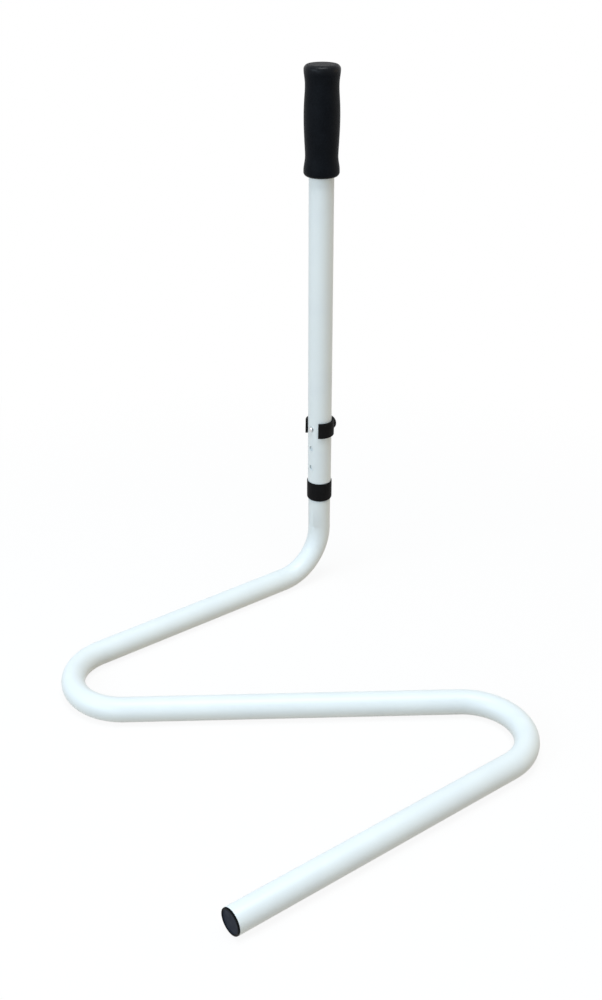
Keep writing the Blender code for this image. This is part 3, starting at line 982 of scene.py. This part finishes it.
def clip_pin(steel):
    """Pin with a domed tip in the opening of the clip and its other end in the boss."""
    radius = PIN_D / 2
    inner_end = BOSS_REACH - BOSS_END_WALL - CLEARANCE
    length = PIN_TIP_REACH + inner_end
    profile = [(0, 0), (radius - PIN_CHAMFER, 0), (radius, PIN_CHAMFER), (radius, length - PIN_DOME)]
    for step in range(1, ROUND_STEPS + 1):
        turn = pi / 2 * step / ROUND_STEPS
        profile.append((radius * cos(turn), length - PIN_DOME + PIN_DOME * sin(turn)))
    along = Matrix.Translation((inner_end, 0, 0)) @ Matrix.Rotation(-pi / 2, 4, "Y")
    pin = turned("clip_pin", profile, pin_place() @ along, SMALL_SIDES)
    dress(smoothed(pin), steel, "lock_pin", "lock")


def shown_share(camera_ray):
    """1 for the camera's rays and those that gloss or glass sends on, else 0."""
    sent_on = camera_ray.other("Is Glossy Ray").at_least(camera_ray.other("Is Transmission Ray"))
    return camera_ray.at_least(sent_on)


def studio_floor():
    """Pale sweep. It shows as white to the camera and in reflections, and keeps the object's shadow."""
    material = bpy.data.materials.new("studio_floor")
    material.use_nodes = True
    graph = Graph(material.node_tree)
    place = graph.place()
    camera_ray = graph.node("ShaderNodeLightPath")
    pale = graph.blend(graph.noise(place, FLOOR_GRAIN_SCALE), FLOOR_SHADE, FLOOR_PALE)
    paint = graph.node("ShaderNodeBsdfDiffuse", {"Color": graph.blend(camera_ray, FLOOR_BOUNCE, pale)})
    white = graph.node("ShaderNodeEmission", {"Color": graph.colour(WHITE), "Strength": 1.0})
    distance = graph.vector("LENGTH", place, output="Value")
    farness = graph.ramp(distance, FLOOR_NEAR, FLOOR_FAR)
    whiteness = shown_share(camera_ray) * (FLOOR_WHITENESS + (1 - FLOOR_WHITENESS) * farness)
    mixed = graph.node("ShaderNodeMixShader", {0: whiteness, 1: paint, 2: white})
    graph.node("ShaderNodeOutputMaterial", {"Surface": mixed})
    bm = bmesh.new()
    bmesh.ops.create_grid(bm, x_segments=FLOOR_CELLS, y_segments=FLOOR_CELLS, size=FLOOR_REACH)
    bmesh.ops.translate(bm, verts=bm.verts, vec=(0, 0, -FLOOR_GAP))
    floor = new_object("studio_floor", bm, closed=False)
    floor.data.materials.append(material)


def studio_world():
    """White to the camera and in reflections, a soft even fill for everything else."""
    world = bpy.data.worlds.new("studio_world")
    world.use_nodes = True
    graph = Graph(world.node_tree)
    shown = shown_share(graph.node("ShaderNodeLightPath"))
    white = graph.node("ShaderNodeBackground", {"Color": graph.colour(WHITE), "Strength": 1.0})
    soft = {"Color": graph.colour(FILL_COLOUR), "Strength": FILL_STRENGTH}
    fill = graph.node("ShaderNodeBackground", soft)
    mixed = graph.node("ShaderNodeMixShader", {0: shown, 1: fill, 2: white})
    graph.node("ShaderNodeOutputWorld", {"Surface": mixed})
    bpy.context.scene.world = world


def soft_box(name, azimuth, elevation, watts, colour):
    """A square studio lamp that looks at the middle of the object."""
    lamp = bpy.data.lights.new(name, "AREA")
    lamp.size = LAMP_SIZE
    lamp.energy = watts
    lamp.color = colour
    level = cos(elevation)
    towards = Vector((sin(azimuth) * level, -cos(azimuth) * level, sin(elevation)))
    made = bpy.data.objects.new(name, lamp)
    made.location = LAMP_TARGET + towards * LAMP_DISTANCE
    made.rotation_euler = towards.to_track_quat("Z", "Y").to_euler()
    bpy.context.scene.collection.objects.link(made)


def studio_camera():
    """The photograph's viewing angle, in front of the pole and looking down on the base."""
    camera = bpy.data.cameras.new("studio_camera")
    camera.sensor_width = CAMERA_SENSOR
    camera.lens = CAMERA_LENS
    camera.clip_end = CAMERA_REACH
    made = bpy.data.objects.new("studio_camera", camera)
    made.location = pole_axis + Vector(CAMERA_FROM_POLE)
    made.rotation_euler = (pi / 2 - CAMERA_PITCH, 0, -CAMERA_YAW)
    bpy.context.scene.collection.objects.link(made)
    bpy.context.scene.camera = made


def build():
    """Every piece in its finish, and the studio round them."""
    coat = finish("white_powder_coat", powder_coat, specular_ior_level=COAT_SPECULAR)
    black_skin = moulded(PLASTIC_BLACK, PLASTIC_GREY, BLACK_ROUGHNESS)
    black = finish("black_plastic", black_skin, specular_ior_level=MOULD_SPECULAR)
    foam = finish(
        "grip_foam",
        closed_cell_foam,
        specular_ior_level=FOAM_SPECULAR,
        coat_roughness=FOAM_POLISH_ROUGHNESS,
    )
    steel = finish("plated_steel", plated_steel, metallic=1.0)
    holes = cross_holes_tree()
    ribs = shank_ribs_tree()
    base_tube(coat, holes)
    base_end_cap(ribs)
    pole_tube(coat, holes)
    pole_top_cap(ribs, black)
    ferrule(black)
    foam_grip(foam)
    pin_clip(black)
    clip_pin(steel)
    studio_floor()
    studio_world()
    studio_camera()
    for lamp in LAMPS:
        soft_box(*lamp)
    bpy.context.scene.view_settings.view_transform = "Standard"


build()
